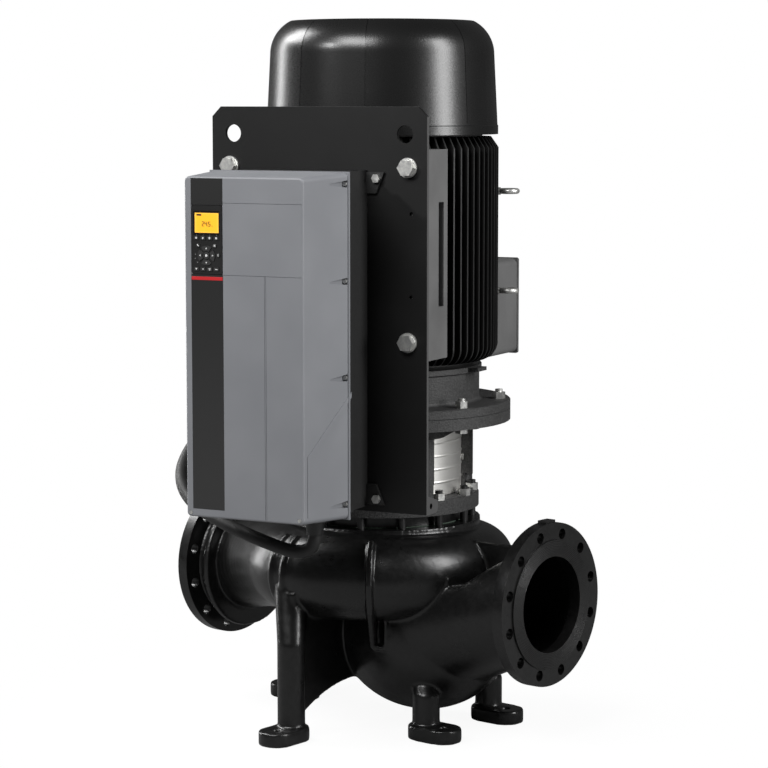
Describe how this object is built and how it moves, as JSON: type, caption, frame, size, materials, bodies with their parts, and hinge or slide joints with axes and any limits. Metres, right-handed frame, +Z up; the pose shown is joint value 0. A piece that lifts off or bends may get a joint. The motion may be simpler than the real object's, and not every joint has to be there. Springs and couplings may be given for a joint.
{
  "type": "in-line circulation pump",
  "caption": "In-line centrifugal circulation pump with an upright finned motor, a frequency drive on a mounting plate, flanged ports and cast feet.",
  "frame": {"origin": "on the floor under the feet, where the shaft axis meets it", "axes": "+Z up along the shaft, +X along the pipe axis towards the suction flange, -Y to the drive's side"},
  "size_m": [0.9, 1.0278, 1.493],
  "materials": {
    "cast_black": "semi-gloss black enamel over cast iron",
    "cast_grey": "textured dark grey paint over cast iron",
    "fin_black": "satin black paint on cast fins",
    "cap_black": "satin black paint on deep-drawn steel",
    "machined": "turned steel",
    "stainless": "brushed stainless sheet",
    "zinc": "zinc-plated steel",
    "iron_pack": "stacked steel laminations",
    "seal_face": "lapped dark ceramic",
    "gasket": "matt fibre gasket",
    "fan_plastic": "moulded plastic",
    "bracket_grey": "light grey paint over casting",
    "box_grey": "light grey paint on die-cast box",
    "plate_black": "matt black powder coat",
    "drive_grey": "moulded grey plastic",
    "sink_grey": "painted die-cast heat sink",
    "panel_black": "moulded charcoal plastic",
    "key_grey": "moulded key caps",
    "screen": "lit amber screen behind clear plastic",
    "cable_black": "black rubber sheath",
    "gland_black": "moulded cable gland"
  },
  "bodies": {
    "pump": {"pump_housing": "cast_black", "cover_gasket": "gasket", "pump_cover": "cast_black", "wear_ring": "machined", "seal_seat": "seal_face", "motor_stool": "cast_grey", "stool_studs": "gland_black", "stool_nuts": "zinc", "coupling_guards": "stainless", "guard_screws": "zinc", "screw_plugs": "zinc", "motor_frame": "fin_black", "drive_end_shield": "cast_grey", "rear_end_shield": "cast_grey", "stator": "iron_pack", "drive_end_bearing": "machined", "rear_bearing": "machined", "fan_cover": "cap_black", "flange_bolts": "zinc", "fan_cover_screws": "zinc", "terminal_box": "box_grey", "terminal_box_lid": "box_grey", "lid_screws": "zinc", "eye_bolts": "zinc", "mounting_plate": "plate_black", "motor_feet": "bracket_grey", "plate_bolts": "zinc", "drive_chassis": "sink_grey", "chassis_screws": "zinc", "drive_cover": "drive_grey", "cover_screws": "zinc", "control_panel": "panel_black", "display": "screen", "cable_glands": "gland_black", "motor_cable": "cable_black"},
    "rotor_line": {"impeller": "machined", "impeller_nut": "zinc", "pump_shaft": "machined", "seal_rotor": "seal_face", "coupling_halves": "machined", "coupling_screws": "zinc", "motor_shaft": "machined", "rotor": "iron_pack", "cooling_fan": "fan_plastic"},
    "key_top_1_body": {"key_top_1": "key_grey"},
    "key_top_2_body": {"key_top_2": "key_grey"},
    "key_top_3_body": {"key_top_3": "key_grey"},
    "key_top_4_body": {"key_top_4": "key_grey"},
    "key_bottom_1_body": {"key_bottom_1": "key_grey"},
    "key_bottom_2_body": {"key_bottom_2": "key_grey"},
    "key_bottom_3_body": {"key_bottom_3": "key_grey"},
    "key_bottom_4_body": {"key_bottom_4": "key_grey"},
    "key_back_body": {"key_back": "key_grey"},
    "key_cancel_body": {"key_cancel": "key_grey"},
    "key_info_body": {"key_info": "key_grey"},
    "key_enter_body": {"key_enter": "key_grey"},
    "key_up_body": {"key_up": "key_grey"},
    "key_left_body": {"key_left": "key_grey"},
    "key_down_body": {"key_down": "key_grey"},
    "key_right_body": {"key_right": "key_grey"}
  },
  "joints": [
    {"name": "shaft_spin", "type": "hinge", "parent": "pump", "child": "rotor_line", "pos_m": [0, 0, 0.7], "axis": [0, 0, 1], "continuous": true},
    {"name": "key_top_1_push", "type": "slide", "parent": "pump", "child": "key_top_1_body", "axis": [-0.2225, 0.9749, 0], "range_m": [0, 0.001], "stiffness_N_per_m": 300},
    {"name": "key_top_2_push", "type": "slide", "parent": "pump", "child": "key_top_2_body", "axis": [-0.2225, 0.9749, 0], "range_m": [0, 0.001], "stiffness_N_per_m": 300},
    {"name": "key_top_3_push", "type": "slide", "parent": "pump", "child": "key_top_3_body", "axis": [-0.2225, 0.9749, 0], "range_m": [0, 0.001], "stiffness_N_per_m": 300},
    {"name": "key_top_4_push", "type": "slide", "parent": "pump", "child": "key_top_4_body", "axis": [-0.2225, 0.9749, 0], "range_m": [0, 0.001], "stiffness_N_per_m": 300},
    {"name": "key_bottom_1_push", "type": "slide", "parent": "pump", "child": "key_bottom_1_body", "axis": [-0.2225, 0.9749, 0], "range_m": [0, 0.001], "stiffness_N_per_m": 300},
    {"name": "key_bottom_2_push", "type": "slide", "parent": "pump", "child": "key_bottom_2_body", "axis": [-0.2225, 0.9749, 0], "range_m": [0, 0.001], "stiffness_N_per_m": 300},
    {"name": "key_bottom_3_push", "type": "slide", "parent": "pump", "child": "key_bottom_3_body", "axis": [-0.2225, 0.9749, 0], "range_m": [0, 0.001], "stiffness_N_per_m": 300},
    {"name": "key_bottom_4_push", "type": "slide", "parent": "pump", "child": "key_bottom_4_body", "axis": [-0.2225, 0.9749, 0], "range_m": [0, 0.001], "stiffness_N_per_m": 300},
    {"name": "key_back_push", "type": "slide", "parent": "pump", "child": "key_back_body", "axis": [-0.2225, 0.9749, 0], "range_m": [0, 0.001], "stiffness_N_per_m": 300},
    {"name": "key_cancel_push", "type": "slide", "parent": "pump", "child": "key_cancel_body", "axis": [-0.2225, 0.9749, 0], "range_m": [0, 0.001], "stiffness_N_per_m": 300},
    {"name": "key_info_push", "type": "slide", "parent": "pump", "child": "key_info_body", "axis": [-0.2225, 0.9749, 0], "range_m": [0, 0.001], "stiffness_N_per_m": 300},
    {"name": "key_enter_push", "type": "slide", "parent": "pump", "child": "key_enter_body", "axis": [-0.2225, 0.9749, 0], "range_m": [0, 0.001], "stiffness_N_per_m": 300},
    {"name": "key_up_push", "type": "slide", "parent": "pump", "child": "key_up_body", "axis": [-0.2225, 0.9749, 0], "range_m": [0, 0.001], "stiffness_N_per_m": 300},
    {"name": "key_left_push", "type": "slide", "parent": "pump", "child": "key_left_body", "axis": [-0.2225, 0.9749, 0], "range_m": [0, 0.001], "stiffness_N_per_m": 300},
    {"name": "key_down_push", "type": "slide", "parent": "pump", "child": "key_down_body", "axis": [-0.2225, 0.9749, 0], "range_m": [0, 0.001], "stiffness_N_per_m": 300},
    {"name": "key_right_push", "type": "slide", "parent": "pump", "child": "key_right_body", "axis": [-0.2225, 0.9749, 0], "range_m": [0, 0.001], "stiffness_N_per_m": 300}
  ]
}
